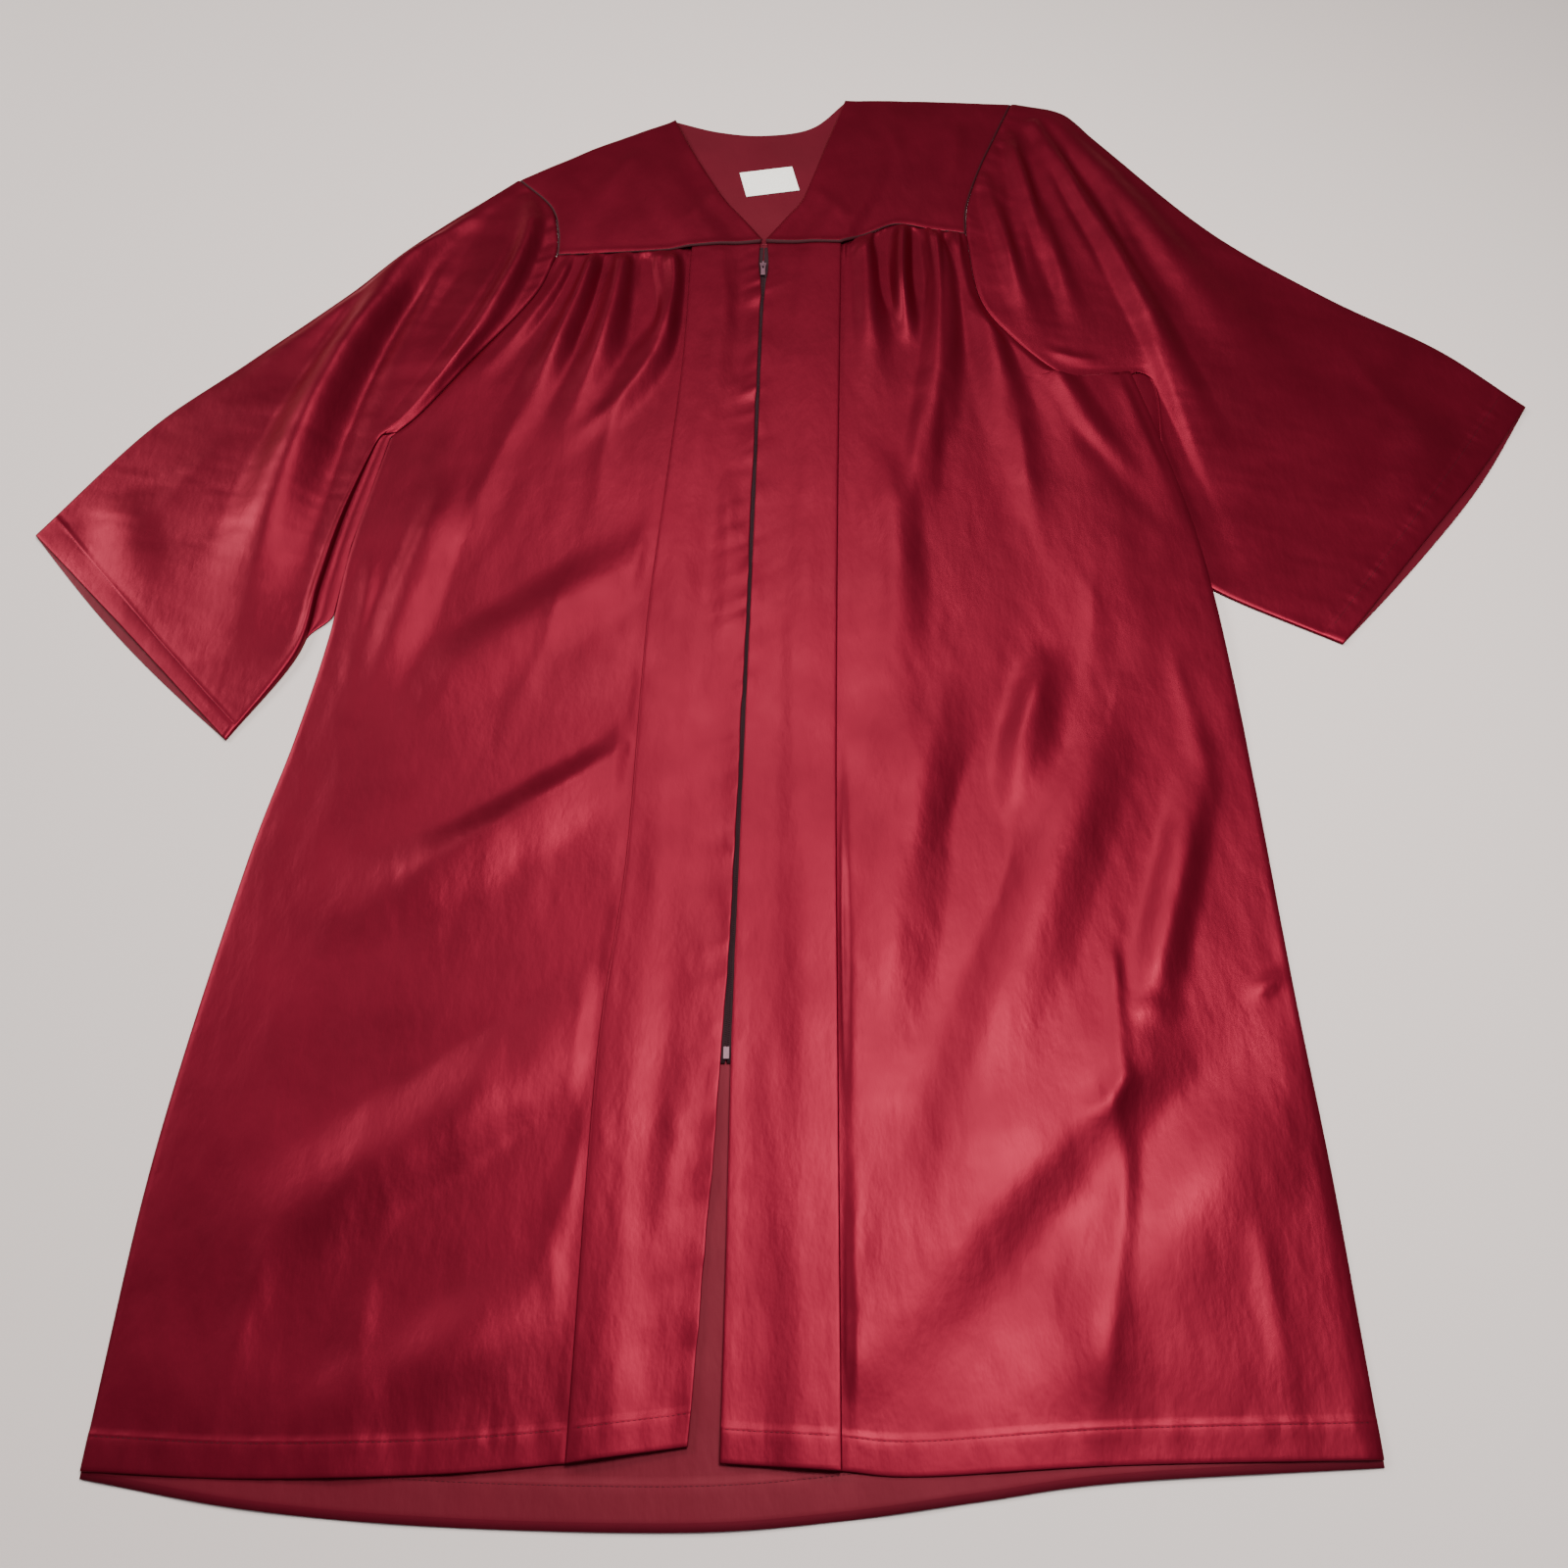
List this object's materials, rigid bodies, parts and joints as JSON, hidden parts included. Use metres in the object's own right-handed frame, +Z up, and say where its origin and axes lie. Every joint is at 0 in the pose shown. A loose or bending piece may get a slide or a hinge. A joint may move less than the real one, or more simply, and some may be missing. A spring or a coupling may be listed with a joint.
{
  "type": "graduation gown",
  "caption": "Adult graduation gown in satin, laid flat on its back: yoke, gathered fronts with zipped centre bands, and bell sleeves.",
  "frame": {"origin": "centre of the bounding box, on the surface that the gown lies on", "axes": "+Z up out of the surface, +Y from the hem to the neck, +X to the right as seen from above with the neck up, which is the wearer's left"},
  "size_m": [1.328, 1.3824, 0.0203],
  "materials": {
    "gown_satin": "crimson polyester satin with a soft sheen",
    "zip_tape": "dark red woven zip tape",
    "label_white": "blank white woven label",
    "zip_metal": "painted zinc in a greyed purple"
  },
  "bodies": {
    "gown": {"back_panel": "gown_satin", "back_yoke": "gown_satin", "front_panel_left": "gown_satin", "front_panel_right": "gown_satin", "front_yoke_left": "gown_satin", "front_yoke_right": "gown_satin", "sleeve_left": "gown_satin", "sleeve_right": "gown_satin", "zip_tape_left": "zip_tape", "zip_tape_right": "zip_tape", "neck_label": "label_white", "zip_slider": "zip_metal", "zip_bottom_stop": "zip_metal"},
    "pull_tab": {"zip_pull_tab": "zip_metal"}
  },
  "joints": [
    {"name": "pull_tab_hinge", "type": "hinge", "parent": "gown", "child": "pull_tab", "pos_m": [-0.03916, 0.41848, 0.0055], "axis": [-1, 0, 0], "range_deg": [0, 170]}
  ]
}
